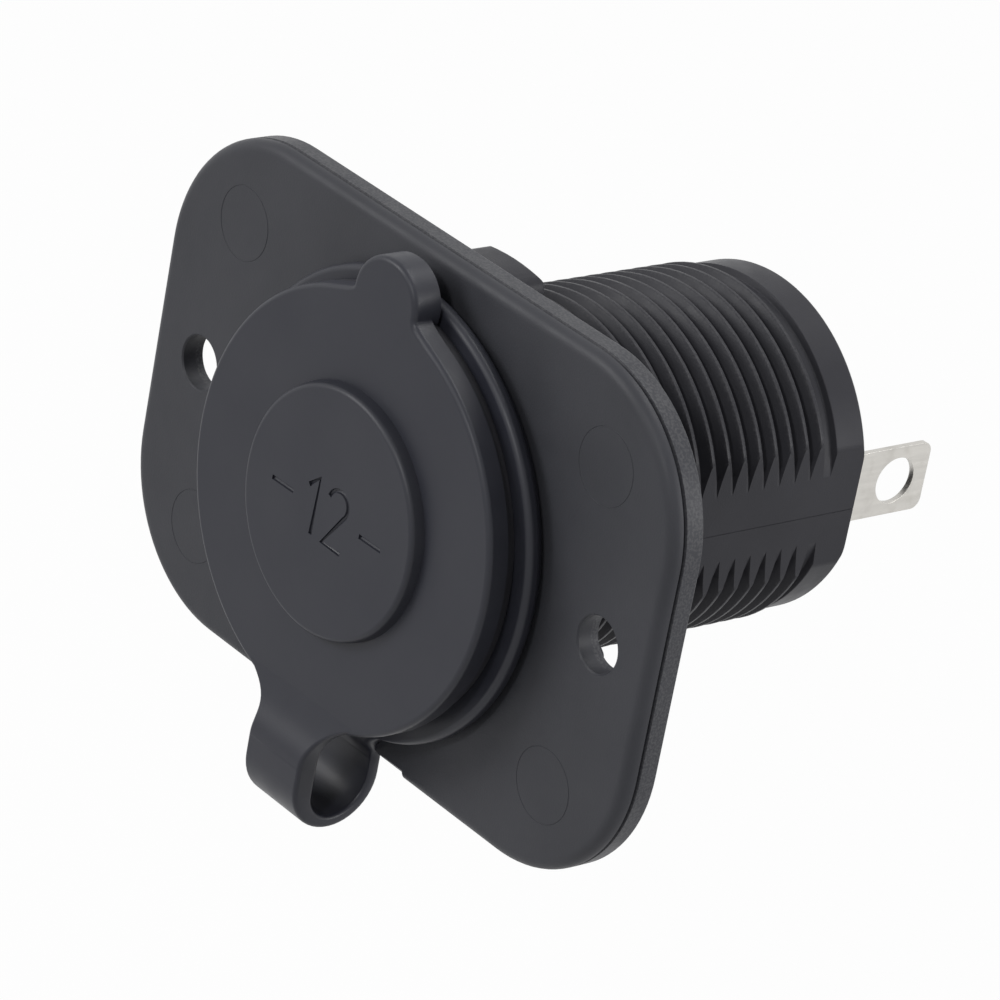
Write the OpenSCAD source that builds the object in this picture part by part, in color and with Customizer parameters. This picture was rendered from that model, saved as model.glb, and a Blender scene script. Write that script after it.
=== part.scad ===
// Panel-mounted 12 V power socket with a rubber dust cap.
// The front faces -Y, up is +Z and the right-hand side, seen from the front, is +X.
// The origin lies on the socket's axis, at the rear face of the face plate.

/* [Face plate] */
// Width of the face plate
plate_w = 62; // [59:0.5:90]
// Height of the face plate
plate_h = 41.5; // [38.5:0.1:43]
// Thickness of the face plate
plate_t = 3; // [2:0.1:4]
// Radius of the face plate's corners
plate_corner_r = 12.4; // [8:0.1:16]
// Radius of the rounded front edge of the face plate
plate_edge_r = 1; // [0.4:0.1:1.5]
// Distance between the two panel screw holes
screw_spacing = 50; // [45:0.5:51.5]
// Radius of the panel screw holes
screw_hole_r = 2.2; // [1.5:0.1:2.6]
// Width of the relief for the strap in the plate's lower edge
relief_w = 13.8; // [8:0.1:16]
// Depth of the strap relief
relief_d = 0.3; // [0.2:0.1:1.2]

/* [Housing] */
// Outer radius of the screw thread on the barrel
thread_r = 14.4; // [14.1:0.1:14.8]
// Depth of the thread
thread_depth = 0.9; // [0.5:0.1:1]
// Pitch of the thread
thread_pitch = 1.62; // [1.2:0.02:2.4]
// Distance from the plate to the rear end of the barrel
barrel_len = 33.4; // [28:0.1:45]
// Length of the smooth collar at the rear end of the barrel
collar_len = 3.1; // [2.7:0.1:6]
// Radius of the smooth collar
collar_r = 13.8; // [13.4:0.1:14]
// Width across the two flats of the barrel
flats_w = 26.4; // [25.8:0.1:27]
// Radius of the front flange
flange_r = 17; // [16.4:0.1:17.8]
// Thickness of the front flange
flange_t = 1; // [0.8:0.1:2]
// Radius of the moulded mouth, which the plug of the cap closes
mouth_r = 12.4; // [12:0.1:12.6]
// Depth of the mouth, down to the lip of the contact shell
mouth_depth = 3.2; // [2.8:0.1:5]
// Thickness of the wall that closes the barrel at the rear
rear_wall_t = 2.5; // [1.6:0.1:3]

/* [Ring nut] */
// Length of the nut
nut_len = 5.1; // [3:0.1:9]
// Radius of the nut between its grips
nut_r = 16.7; // [16:0.1:17.4]
// Radius over the nut's grips
nut_grip_r = 18.3; // [17.8:0.1:19.6]
// Width of one grip
nut_grip_w = 7; // [4:0.1:8]
// Number of grips
nut_grips = 6; // [3:1:8]

/* [Dust cap] */
// Radius of the cap
cap_r = 17.3; // [17.1:0.1:18.4]
// Thickness of the cap
cap_t = 1.8; // [1.4:0.1:2.6]
// Radius of the raised centre at its foot
cap_centre_r = 10.1; // [7:0.1:13]
// Height of the raised centre
cap_centre_h = 1.1; // [0.5:0.1:2]
// Length of the plug that seals the mouth of the socket
plug_len = 2.9; // [1.6:0.1:2.9]
// Wall of the plug
plug_wall = 1.1; // [0.8:0.1:1.3]
// Width of the finger tab
tab_w = 7.2; // [5:0.1:12]
// How far the finger tab reaches past the cap
tab_reach = 3.8; // [2:0.1:6]
// Thickness of the finger tab
tab_t = 2.5; // [1.5:0.1:2.6]
// Width of the strap
strap_w = 6.6; // [4:0.1:9]
// Thickness of the strap's legs
strap_t = 1.9; // [1.2:0.1:2.2]
// Thickness of the strap at its fold
fold_t = 1; // [0.6:0.1:1.4]
// Distance from the socket's axis down to the fold of the strap
fold_drop = 26.4; // [25.4:0.1:30]
// Outer radius of the strap's fold
fold_r = 4.1; // [3.9:0.1:4.4]

/* [Strap ring] */
// Outer radius of the rubber ring
ring_r = 18.7; // [17.8:0.1:19]
// Thickness of the rubber ring
ring_t = 1.9; // [1.4:0.1:2.6]

/* [Contacts] */
// Inner radius of the contact shell, which holds the plug
shell_r = 10.5; // [10.4:0.05:10.8]
// Wall of the contact shell
shell_t = 0.6; // [0.4:0.05:0.7]
// Inner radius of the shell's narrower base, round the centre contact
base_r = 9.6; // [8:0.1:9.8]
// Depth of the shell's narrower base
base_depth = 3.9; // [3.2:0.1:5]
// Width of a spring tongue in the shell
tongue_w = 4.6; // [3:0.1:6]
// Length of a spring tongue
tongue_len = 12; // [8:0.5:15]
// How far the tip of a spring tongue reaches into the bore
tongue_dip = 0.2; // [0.1:0.05:0.2]
// Radius of the centre contact
contact_r = 4.4; // [3.6:0.1:5]
// Thickness of the centre contact
contact_t = 0.5; // [0.4:0.1:0.8]
// Height of the centre contact's dished crown
contact_crown = 1.2; // [0.8:0.1:2]
// Radius of the insulating disc and washer
insulator_r = 6; // [5.4:0.1:6.1]
// Thickness of the insulating disc and of the insulating washer
insulator_t = 1; // [0.8:0.1:1.2]
// Radius of the centre rivet's shank
rivet_r = 1.5; // [1:0.1:2]
// Radius of the earth rivet's shank
earth_rivet_r = 0.8; // [0.6:0.1:0.9]
// Width of the terminal blades
blade_w = 5.9; // [4.8:0.1:6.6]
// Thickness of the terminal blades
blade_t = 0.5; // [0.4:0.1:0.8]
// How far the terminal blades stand out behind the barrel
blade_len = 9.7; // [7:0.1:14]
// Radius of the hole in a terminal blade
blade_hole_r = 2; // [0.8:0.1:2.2]
// Distance from a blade's tip to the centre of its hole
blade_hole_inset = 3.4; // [3.2:0.1:5]
// Radius of the rounded corners at a blade's tip
blade_corner = 0.9; // [0.3:0.1:1.2]
// Offset of the positive blade from the axis
positive_x = 5; // [4.2:0.1:5.2]

/* [Fits] */
// Clearance between parts that slide into each other
slide_fit = 0.1; // [0.05:0.05:0.2]
// Clearance round the cap's plug
plug_fit = 0.4; // [0.3:0.05:0.6]
// Clearance between the cap and the flange, and at the fold of the strap
cap_gap = 0.1; // [0.05:0.05:0.3]

/* [Hidden] */
$fn = 96;

// Colours of the moulded, rubber and metal parts
plastic_colour = [0.10, 0.10, 0.11];
rubber_colour = [0.15, 0.15, 0.16];
nickel_colour = [0.78, 0.76, 0.73];
brass_colour = [0.80, 0.66, 0.36];
fibre_colour = [0.55, 0.22, 0.12];

// Overcut that carries a cut past a face
over = 1;
// Radius of small rounded edges on moulded parts
edge_r = 0.6;
// Radii of the rounded rear edge of the nut's grips and front edge of the rubber ring
nut_edge_r = 1.2;
ring_edge_r = 0.8;
// Steps in a rounded edge or a curve
steps = 5;
// Half widths of the thread's crest and foot, as shares of the pitch
thread_crest = 0.12;
thread_foot = 0.42;
// Where the thread's relief ends and its first crest stands, as shares of the pitch
thread_relief = 0.2;
thread_start = 0.7;
// How far the strap's legs reach into the discs they hang from
leg_root = 3;
// Length of the bend at the top of a leg, and the ease of its curve
leg_bend = 3;
leg_ease = 0.8;
// How far up the cap's face the front leg fades out
leg_rise = 2.2;
// Thickness of the strap's rear leg
rear_leg_t = 1;
// How far the strap widens to each side where it meets a disc, and over what length
flare_w = 3.4;
flare_len = 2.6;
// Radius of the finger tab's corners, as a share of its width
tab_corner = 0.47;
// Reach of the fillets at the foot of the finger tab
tab_fillet = 1.6;
// Gap round a spring tongue
tongue_gap = 0.8;
// Wall of the bush on the insulating disc
bush_t = 1;
// How far the rivets' heads reach past their shanks
rivet_rim = 0.9;
earth_rim = 0.5;
// Height of the earth rivet's heads
earth_head_t = 0.4;
// How far the positive terminal's foot reaches past the rivet's head
foot_rim = 0.8;

// Planes along the axis, from the front to the rear
plate_front = -plate_t;
flange_rear = plate_front - ring_t;
flange_front = flange_rear - flange_t;
cap_rear = flange_front - cap_gap;
cap_front = cap_rear - cap_t;
collar_front = barrel_len - collar_len;
floor_y = barrel_len - rear_wall_t;
foot_rear = floor_y - slide_fit;
washer_rear = foot_rear - blade_t;
shell_rear = washer_rear - insulator_t;
disc_front = shell_rear - shell_t - insulator_t;
base_front = shell_rear - shell_t - base_depth;
lip_front = flange_front + mouth_depth;
blade_tip = barrel_len + blade_len;

// Radii that follow from the fits
shell_outer_r = shell_r + shell_t;
housing_bore_r = shell_outer_r + slide_fit;
plate_bore_r = thread_r + slide_fit;
nut_bore_r = thread_r + slide_fit / 2;
plug_r = mouth_r - plug_fit;
shell_lip_r = mouth_r - slide_fit;
bush_r = rivet_r + slide_fit + bush_t;
rivet_head_r = rivet_r + rivet_rim;
earth_x = (insulator_r + base_r + shell_t) / 2;
earth_foot_x = insulator_r + slide_fit;

// The strap's fold
fold_y = cap_rear - cap_gap;
fold_z = -fold_drop;
fold_centre_z = fold_z + fold_r;

// Turns a shape drawn round Z so that it lies round Y, with Z becoming Y
module about_y() {
    rotate([-90, 0, 0]) children();
}

// Carries an outline drawn in X and Z from the plane y0 to the plane y1
module front_view(y0, y1) {
    translate([0, y1, 0]) rotate([90, 0, 0]) linear_extrude(y1 - y0) children();
}

// Carries a profile drawn in Y and Z through a width w, centred on X = 0
module side_view(w) {
    translate([-w / 2, 0, 0]) rotate([90, 0, 90]) linear_extrude(w) children();
}

// Points of a quarter turn round a centre, from one angle to another
function arc(centre, r, from, to) =
    [for (i = [0:steps]) let (a = from + (to - from) * i / steps)
        centre + r * [cos(a), sin(a)]];

// Points of a smooth curve from a to d, drawn towards b and c on its way
function curve(a, b, c, d) =
    [for (i = [0:steps]) let (t = i / steps, s = 1 - t)
        s * s * s * a + 3 * s * s * t * b + 3 * s * t * t * c + t * t * t * d];

// Disc round Y with a rounded front edge
module rounded_disc(r, front, rear, round) {
    about_y() rotate_extrude() polygon(concat(
        [[0, front]],
        arc([r - round, front + round], round, -90, 0),
        [[r, rear], [0, rear]]));
}

// Bar with rounded front edges, w wide and as deep as the plate, drawn along Z
module plate_bar(w, len) {
    translate([0, 0, -len / 2]) linear_extrude(len) polygon(concat(
        arc([w / 2 - plate_edge_r, plate_front + plate_edge_r], plate_edge_r, 0, -90),
        arc([plate_edge_r - w / 2, plate_front + plate_edge_r], plate_edge_r, -90, -180),
        [[-w / 2, 0], [w / 2, 0]]));
}

// Circle cut by the barrel's two flats, both set out by a clearance
module keyed_circle(r, clearance) {
    intersection() {
        circle(r = r);
        square([flats_w + 2 * clearance, 2 * r + over], center = true);
    }
}

module face_plate() {
    corner_x = plate_w / 2 - plate_corner_r;
    corner_z = plate_h / 2 - plate_corner_r;
    relief_z = relief_d - plate_h / 2;
    color(plastic_colour) difference() {
        union() {
            plate_bar(plate_w, 2 * corner_z);
            rotate([0, 90, 0]) plate_bar(plate_h, 2 * corner_x);
            for (x = [-corner_x, corner_x], z = [-corner_z, corner_z])
                translate([x, 0, z]) rounded_disc(plate_corner_r, plate_front, 0, plate_edge_r);
        }
        front_view(plate_front - over, over) keyed_circle(plate_bore_r, slide_fit);
        for (x = [-screw_spacing / 2, screw_spacing / 2])
            translate([x, plate_front - over, 0]) about_y()
                cylinder(r = screw_hole_r, h = plate_t + 2 * over);
        side_view(relief_w) polygon([
            [over, relief_z - 2 * over], [over, relief_z], [plate_front / 2, relief_z],
            [plate_front - over, relief_z - plate_front / 2 + over],
            [plate_front - over, relief_z - 2 * over]]);
    }
}

// Profile of the threaded barrel, drawn as radius and place along Y
module barrel_profile() {
    root_r = thread_r - thread_depth;
    first = thread_pitch * thread_start;
    turns = floor((collar_front - first) / thread_pitch);
    polygon(concat(
        [[0, flange_front], [thread_r, flange_front], [thread_r, 0]],
        [[root_r, thread_pitch * thread_relief]],
        [for (i = [0:turns - 1], p = [[root_r, -thread_foot], [thread_r, -thread_crest],
                                      [thread_r, thread_crest], [root_r, thread_foot]])
            [p[0], first + (i + p[1]) * thread_pitch]],
        [[root_r, collar_front - thread_pitch * thread_crest], [collar_r, collar_front]],
        arc([collar_r - edge_r, barrel_len - edge_r], edge_r, 0, 90),
        [[0, barrel_len]]));
}

module socket_housing() {
    slot_w = blade_w + 2 * slide_fit;
    slot_t = blade_t + 2 * slide_fit;
    color(plastic_colour) difference() {
        union() {
            intersection() {
                about_y() rotate_extrude() barrel_profile();
                translate([-flats_w / 2, flange_front - over, -thread_r - over])
                    cube([flats_w, barrel_len - flange_front + 2 * over, 2 * (thread_r + over)]);
            }
            rounded_disc(flange_r, flange_front, flange_rear, flange_t / 3);
        }
        translate([0, flange_front - over, 0]) about_y()
            cylinder(r = housing_bore_r, h = floor_y - flange_front + over);
        translate([0, flange_front - over, 0]) about_y()
            cylinder(r = mouth_r, h = over + mouth_depth + shell_t);
        translate([0, floor_y - over, 0]) about_y()
            cylinder(r = rivet_head_r + slide_fit, h = over + rear_wall_t / 2);
        translate([shell_outer_r - blade_t - slide_fit, washer_rear - insulator_t, -slot_w / 2])
            cube([slot_t, barrel_len, slot_w]);
        translate([-positive_x - slide_fit, floor_y - over, -slot_w / 2])
            cube([slot_t, barrel_len, slot_w]);
    }
}

module ring_nut() {
    color(plastic_colour) difference() {
        union() {
            about_y() cylinder(r = nut_r, h = nut_len);
            intersection() {
                mirror([0, 1, 0]) rounded_disc(nut_grip_r, -nut_len, 0, nut_edge_r);
                front_view(-over, nut_len + over)
                    for (i = [0:nut_grips - 1]) rotate(i * 360 / nut_grips)
                        translate([-nut_grip_w / 2, 0]) square([nut_grip_w, nut_grip_r + over]);
            }
        }
        translate([0, -over, 0]) about_y() cylinder(r = nut_bore_r, h = nut_len + 2 * over);
    }
}

// Side profile of the strap's front leg, from the fold up to the cap
module front_leg_profile() {
    out_y = fold_y - fold_r;
    in_y = out_y + strap_t;
    in_z = fold_z + fold_t + fold_y - in_y;
    polygon(concat(
        arc([fold_y, fold_centre_z], fold_r, -90, -180),
        curve([out_y, fold_centre_z], [out_y, fold_centre_z + leg_bend],
              [cap_front, -cap_r - leg_ease], [cap_front, leg_rise - cap_r]),
        [[cap_front, leg_root - cap_r], [cap_rear, leg_root - cap_r],
         [cap_rear, edge_r - cap_r]],
        curve([cap_rear - edge_r, -cap_r], [in_y + leg_ease / 2, -cap_r - leg_ease],
              [in_y, -cap_r - 2 * leg_ease], [in_y, -cap_r - leg_bend]),
        arc([fold_y, in_z], fold_y - in_y, 180, 270)));
}

// Side profile of the strap's rear leg, from the fold up to the ring
module rear_leg_profile() {
    out_y = fold_y + fold_r;
    in_y = out_y - rear_leg_t;
    in_z = fold_z + fold_t + in_y - fold_y;
    polygon(concat(
        arc([fold_y, fold_centre_z], fold_r, -90, 0),
        [[out_y, -(plate_h + leg_ease) / 2], [plate_front, -ring_r - leg_ease / 2],
         [plate_front, leg_root - ring_r], [flange_rear, leg_root - ring_r]],
        curve([flange_rear, leg_ease / 2 - ring_r], [flange_rear, -ring_r - edge_r],
              [in_y, -ring_r - edge_r], [in_y, -ring_r - 2 * leg_ease]),
        arc([fold_y, in_z], in_y - fold_y, 0, -90)));
}

// Front outline of the strap, which widens in a curve where it meets a disc of radius r
module strap_outline(r) {
    half = strap_w / 2;
    wide = half + flare_w;
    root = [wide, leg_ease / 2 - sqrt(r * r - wide * wide)];
    side = curve([half, -r - flare_len], [half, -r - edge_r],
                 [half + flare_len / 2, edge_r - r], root);
    polygon(concat(
        [[half, fold_z - over]], side,
        [[wide, leg_root + over - r], [-wide, leg_root + over - r]],
        [for (i = [steps:-1:0]) [-side[i][0], side[i][1]]],
        [[-half, fold_z - over]]));
}

// One leg of the strap: its side profile, cut to its front outline
module strap_leg(r) {
    intersection() {
        side_view(strap_w + 2 * (flare_w + over)) children();
        front_view(fold_y - fold_r - over, fold_y + fold_r + over) strap_outline(r);
    }
}

module strap_ring() {
    color(rubber_colour) difference() {
        union() {
            about_y() rotate_extrude() polygon(concat(
                [[plate_bore_r - over, flange_rear]],
                arc([ring_r - ring_edge_r, flange_rear + ring_edge_r], ring_edge_r, -90, 0),
                [[ring_r, plate_front], [plate_bore_r - over, plate_front]]));
            strap_leg(ring_r) difference() {
                rear_leg_profile();
                translate([fold_y - over + cap_gap / 2, fold_z - over]) square([over, 4 * over]);
            }
        }
        translate([0, flange_rear - over, 0]) about_y()
            cylinder(r = plate_bore_r, h = ring_t + 2 * over);
    }
}

// Front outline of the cap and its finger tab, with filleted corners between them
module tab_outline() {
    corner = tab_w * tab_corner;
    top = cap_r + tab_reach;
    half = tab_w / 2;
    wide = half + tab_fillet;
    root = [wide, sqrt(cap_r * cap_r - wide * wide) - tab_fillet / 8];
    side = curve([half, top - corner], [half, cap_r + edge_r],
                 [half + tab_fillet / 8, root[1] + tab_fillet / 4], root);
    polygon(concat(
        arc([half - corner, top - corner], corner, 90, 0), side,
        [[wide, cap_r - leg_root], [-wide, cap_r - leg_root]],
        [for (i = [steps:-1:0]) [-side[i][0], side[i][1]]],
        arc([corner - half, top - corner], corner, 180, 90)));
}

module dust_cap() {
    color(rubber_colour) union() {
        rounded_disc(cap_r, cap_front, cap_rear, edge_r);
        about_y() translate([0, 0, cap_front - cap_centre_h])
            cylinder(r1 = cap_centre_r - cap_centre_h / 2, r2 = cap_centre_r, h = cap_centre_h);
        about_y() rotate_extrude() polygon([
            [plug_r - plug_wall, cap_rear - cap_t / 2], [plug_r, cap_rear - cap_t / 2],
            [plug_r, cap_rear + plug_len - edge_r], [plug_r - edge_r / 2, cap_rear + plug_len],
            [plug_r - plug_wall, cap_rear + plug_len]]);
        front_view(cap_front, cap_rear) tab_outline();
        difference() {
            front_view(cap_front, cap_front + tab_t) tab_outline();
            translate([0, cap_rear, 0]) about_y() cylinder(r = cap_r, h = tab_t);
        }
        strap_leg(cap_r) difference() {
            front_leg_profile();
            translate([fold_y - cap_gap / 2, fold_z - over]) square([over, 4 * over]);
        }
    }
}

// Windows round the spring tongues, cut through the shell's wall
module tongue_windows(middle) {
    for (side = [-1, 1])
        translate([-tongue_w / 2 - tongue_gap, middle - tongue_len / 2,
                   side > 0 ? 0 : -shell_r - over])
            cube([tongue_w + 2 * tongue_gap, tongue_len + tongue_gap, shell_r + over]);
}

// One spring tongue, bent down into the bore from its front root
module spring_tongue(middle) {
    slope = atan(tongue_dip / tongue_len);
    intersection() {
        translate([-tongue_w / 2, middle - tongue_len / 2 - shell_t, shell_r])
            rotate([-slope, 0, 0]) cube([tongue_w, tongue_len + shell_t, shell_t * 0.8]);
        about_y() cylinder(r = shell_outer_r, h = shell_rear);
    }
}

module contact_shell() {
    middle = (lip_front + base_front) / 2;
    color(nickel_colour) difference() {
        union() {
            difference() {
                about_y() rotate_extrude() polygon([
                    [shell_r, lip_front], [shell_lip_r, lip_front],
                    [shell_lip_r, lip_front + shell_t],
                    [shell_outer_r, lip_front + shell_t], [shell_outer_r, base_front + shell_t],
                    [base_r + shell_t, base_front + shell_t], [base_r + shell_t, shell_rear],
                    [bush_r + slide_fit, shell_rear], [bush_r + slide_fit, shell_rear - shell_t],
                    [base_r, shell_rear - shell_t], [base_r, base_front],
                    [shell_r, base_front]]);
                tongue_windows(middle);
            }
            spring_tongue(middle);
            mirror([0, 0, 1]) spring_tongue(middle);
        }
        translate([earth_x, shell_rear - 2 * over, 0]) about_y()
            cylinder(r = earth_rivet_r + slide_fit / 2, h = 4 * over);
    }
}

module insulating_disc() {
    color(fibre_colour) about_y() rotate_extrude() polygon([
        [rivet_r + slide_fit, disc_front], [insulator_r, disc_front],
        [insulator_r, disc_front + insulator_t], [bush_r, disc_front + insulator_t],
        [bush_r, shell_rear], [rivet_r + slide_fit, shell_rear]]);
}

module insulating_washer() {
    color(fibre_colour) translate([0, shell_rear, 0]) about_y() difference() {
        cylinder(r = insulator_r, h = insulator_t);
        translate([0, 0, -over]) cylinder(r = rivet_r + slide_fit, h = insulator_t + 2 * over);
    }
}

module centre_contact() {
    crown_r = rivet_head_r + contact_t / 2;
    crown = disc_front - contact_crown;
    color(brass_colour) about_y() rotate_extrude() polygon([
        [rivet_r + slide_fit, crown], [crown_r, crown],
        [contact_r, disc_front - contact_t], [contact_r, disc_front],
        [contact_r - contact_t, disc_front], [crown_r - contact_t / 2, crown + contact_t],
        [rivet_r + slide_fit, crown + contact_t]]);
}

// Shank with a head at each end, from the plane front to the plane rear
module rivet(shank_r, head_r, head_t, front, rear) {
    about_y() rotate_extrude() polygon(concat(
        [[0, front - head_t]], arc([head_r - head_t, front], head_t, -90, 0),
        [[shank_r, front], [shank_r, rear]],
        arc([head_r - head_t, rear], head_t, 0, 90),
        [[0, rear + head_t]]));
}

module centre_rivet() {
    color(nickel_colour)
        rivet(rivet_r, rivet_head_r, rear_wall_t / 3, disc_front - contact_crown, foot_rear);
}

// Outline of a terminal blade standing at Z = 0, from y0 to the tip, with its hole
module blade_outline(y0) {
    half = blade_w / 2;
    difference() {
        polygon(concat(
            [[y0, -half]],
            arc([blade_tip - blade_corner, blade_corner - half], blade_corner, -90, 0),
            arc([blade_tip - blade_corner, half - blade_corner], blade_corner, 0, 90),
            [[y0, half]]));
        translate([blade_tip - blade_hole_inset, 0]) circle(r = blade_hole_r);
    }
}

// Terminal blade with its outer side at X = x1 and its root at the plane y0
module blade(x1, y0) {
    translate([x1 - blade_t / 2, 0, 0]) side_view(blade_t) blade_outline(y0);
}

module positive_terminal() {
    color(nickel_colour) difference() {
        union() {
            blade(blade_t - positive_x, washer_rear);
            front_view(washer_rear, foot_rear) {
                translate([-positive_x, -blade_w / 2]) square([positive_x, blade_w]);
                circle(r = rivet_head_r + foot_rim);
            }
        }
        translate([0, washer_rear - over, 0]) about_y()
            cylinder(r = rivet_r + slide_fit / 2, h = 4 * over);
    }
}

module negative_terminal() {
    color(nickel_colour) difference() {
        union() {
            blade(shell_outer_r, shell_rear);
            front_view(shell_rear, shell_rear + blade_t) intersection() {
                translate([earth_foot_x, -blade_w / 2])
                    square([shell_outer_r - earth_foot_x, blade_w]);
                circle(r = shell_outer_r);
            }
        }
        translate([earth_x, shell_rear - over, 0]) about_y()
            cylinder(r = earth_rivet_r + slide_fit / 2, h = 4 * over);
    }
}

module earth_rivet() {
    color(nickel_colour) translate([earth_x, 0, 0])
        rivet(earth_rivet_r, earth_rivet_r + earth_rim, earth_head_t,
              shell_rear - shell_t, shell_rear + blade_t);
}

face_plate();
socket_housing();
ring_nut();
strap_ring();
dust_cap();
contact_shell();
insulating_disc();
insulating_washer();
centre_contact();
centre_rivet();
positive_terminal();
negative_terminal();
earth_rivet();
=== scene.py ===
"""Panel-mounted 12 V power socket with a rubber dust cap, dressed for the camera.

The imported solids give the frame. Every part but the insulating washer is modelled
again here as a smooth piece with its finish, and rides on the same body.
Sizes in the classes are millimetres, the front faces -Y and up is +Z.
"""
import logging
import math
from collections.abc import Callable, Iterator, Sequence
from contextlib import contextmanager
from dataclasses import dataclass
from enum import Enum

import bmesh
import bpy
from mathutils import Matrix, Vector


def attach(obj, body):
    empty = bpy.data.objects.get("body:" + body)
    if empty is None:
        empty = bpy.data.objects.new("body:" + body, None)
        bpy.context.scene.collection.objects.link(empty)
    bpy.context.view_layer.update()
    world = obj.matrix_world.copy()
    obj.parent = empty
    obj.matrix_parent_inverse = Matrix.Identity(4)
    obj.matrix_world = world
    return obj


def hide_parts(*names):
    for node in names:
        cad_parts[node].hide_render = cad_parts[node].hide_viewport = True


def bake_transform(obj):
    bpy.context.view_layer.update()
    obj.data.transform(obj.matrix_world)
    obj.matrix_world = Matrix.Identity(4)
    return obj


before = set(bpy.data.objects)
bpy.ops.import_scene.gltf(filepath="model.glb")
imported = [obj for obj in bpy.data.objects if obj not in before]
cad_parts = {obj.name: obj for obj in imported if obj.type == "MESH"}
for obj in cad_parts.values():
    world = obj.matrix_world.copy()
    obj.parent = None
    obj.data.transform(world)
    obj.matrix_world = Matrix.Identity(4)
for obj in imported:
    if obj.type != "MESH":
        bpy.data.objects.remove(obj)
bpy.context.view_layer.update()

log = logging.getLogger("socket")

MM = 0.001
MERGE = 1e-6
Point = tuple[float, float]
Triple = tuple[float, float, float]
Piece = bpy.types.Object
Socket = bpy.types.NodeSocket


class Body(Enum):
    """The two bodies of the model."""

    SOCKET = "socket"
    CAP = "cap"


class Slot(Enum):
    """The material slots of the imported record."""

    PLATE = "plate_plastic"
    HOUSING = "housing_plastic"
    RUBBER = "cap_rubber"
    NICKEL = "nickel_plate"
    TERMINAL = "terminal_nickel"
    BRASS = "contact_brass"
    FIBRE = "fibre_board"


class Way(Enum):
    """The ways in which two solids are made one."""

    JOIN = "UNION"
    CUT = "DIFFERENCE"
    SHARE = "INTERSECT"


# ---------------------------------------------------------------- operators


def take(piece: Piece) -> None:
    """Make one piece the selected and active object.

    Args:
        piece: The object to work on.
    """
    bpy.ops.object.select_all(action="DESELECT")
    piece.select_set(True)
    bpy.context.view_layer.objects.active = piece


def named(name: str) -> Piece:
    """Name the object just added, and apply its place to its mesh.

    Args:
        name: The name of the piece.

    Returns:
        The active object.
    """
    piece = bpy.context.active_object
    take(piece)
    bpy.ops.object.transform_apply(location=True, rotation=True, scale=True)
    piece.name = piece.data.name = name
    return piece


def primitive(operator: Callable[..., set[str]], name: str, **settings: object) -> Piece:
    """Add a primitive with nothing else selected, and apply its place.

    Args:
        operator: The operator that adds it.
        name: The name of the piece.
        settings: The operator's settings, in metres and radians.

    Returns:
        The new object.
    """
    bpy.ops.object.select_all(action="DESELECT")
    operator(**settings)
    return named(name)


@contextmanager
def editing(piece: Piece, mode: str = "VERT", whole: bool = False) -> Iterator[None]:
    """Hold a piece in edit mode, at first with all of it or nothing selected.

    Args:
        piece: The object to edit.
        mode: The kind of element that selections are made in.
        whole: Whether all of the piece is selected at first.

    Yields:
        Nothing; the edit mode ends with the block.
    """
    take(piece)
    bpy.ops.object.mode_set(mode="EDIT")
    bpy.ops.mesh.select_mode(type=mode)
    bpy.ops.mesh.select_all(action="SELECT" if whole else "DESELECT")
    yield
    bpy.ops.object.mode_set(mode="OBJECT")


def pick(piece: Piece, kind: str, test: Callable[..., bool]) -> int:
    """Select the elements of an edited piece that pass a test, and no others.

    Args:
        piece: The object in edit mode.
        kind: "verts", "edges" or "faces".
        test: Says whether an element is wanted.

    Returns:
        How many elements are selected.
    """
    bpy.ops.mesh.select_all(action="DESELECT")
    mesh = bmesh.from_edit_mesh(piece.data)
    found = [element for element in getattr(mesh, kind) if test(element)]
    for element in found:
        element.select_set(True)
    mesh.select_flush_mode()
    bmesh.update_edit_mesh(piece.data)
    return len(found)


def move(by: Sequence[float]) -> None:
    """Move what is selected, by a way in metres."""
    bpy.ops.transform.translate(value=by, orient_type="GLOBAL")


def shift(piece: Piece, across: float) -> None:
    """Move a whole piece along X, in millimetres."""
    with editing(piece, whole=True):
        move((across * MM, 0, 0))


def face_out() -> None:
    """Turn all faces of the edited piece outwards."""
    bpy.ops.mesh.select_all(action="SELECT")
    bpy.ops.mesh.normals_make_consistent(inside=False)


def round_rim(piece: Piece, plane: float, radius: float, segments: int = 5) -> None:
    """Round the edges of an edited piece that lie in one plane across Y.

    Args:
        piece: The object in edit mode.
        plane: The place of the plane.
        radius: The radius of the rounding, or 0 for none.
        segments: How many faces make the rounding.
    """
    if radius:
        pick(piece, "edges", lambda edge: all(abs(v.co.y - plane * MM) < MERGE
                                              for v in edge.verts))
        bpy.ops.mesh.bevel(offset=radius * MM, segments=segments, clamp_overlap=False)


def apply(piece: Piece, kind: str, **settings: object) -> None:
    """Add a modifier to a piece and apply it.

    Args:
        piece: The object to change.
        kind: The modifier's type.
        settings: Its properties.
    """
    take(piece)
    modifier = piece.modifiers.new(kind.title(), kind)
    for key, value in settings.items():
        setattr(modifier, key, value)
    bpy.ops.object.modifier_apply(modifier=modifier.name)


def combine(piece: Piece, other: Piece, way: Way = Way.JOIN) -> None:
    """Join another solid to a piece, cut it away or keep what they share.

    Args:
        piece: The object to change.
        other: The second solid, which is used up.
        way: Which of the three is done.

    Raises:
        ValueError: If nothing is left of the piece, or a cut makes it larger.
    """
    before = sum(piece.dimensions)
    apply(piece, "BOOLEAN", object=other, operation=way.value, solver="EXACT")
    if not piece.data.polygons:
        raise ValueError(f"nothing is left of {piece.name}")
    if way is not Way.JOIN and sum(piece.dimensions) > before + MM:
        raise ValueError(f"a cut with {other.name} went wrong on {piece.name}")
    bpy.data.objects.remove(other)


def cut(piece: Piece, other: Piece) -> None:
    """Cut another solid away from a piece."""
    combine(piece, other, Way.CUT)


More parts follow.
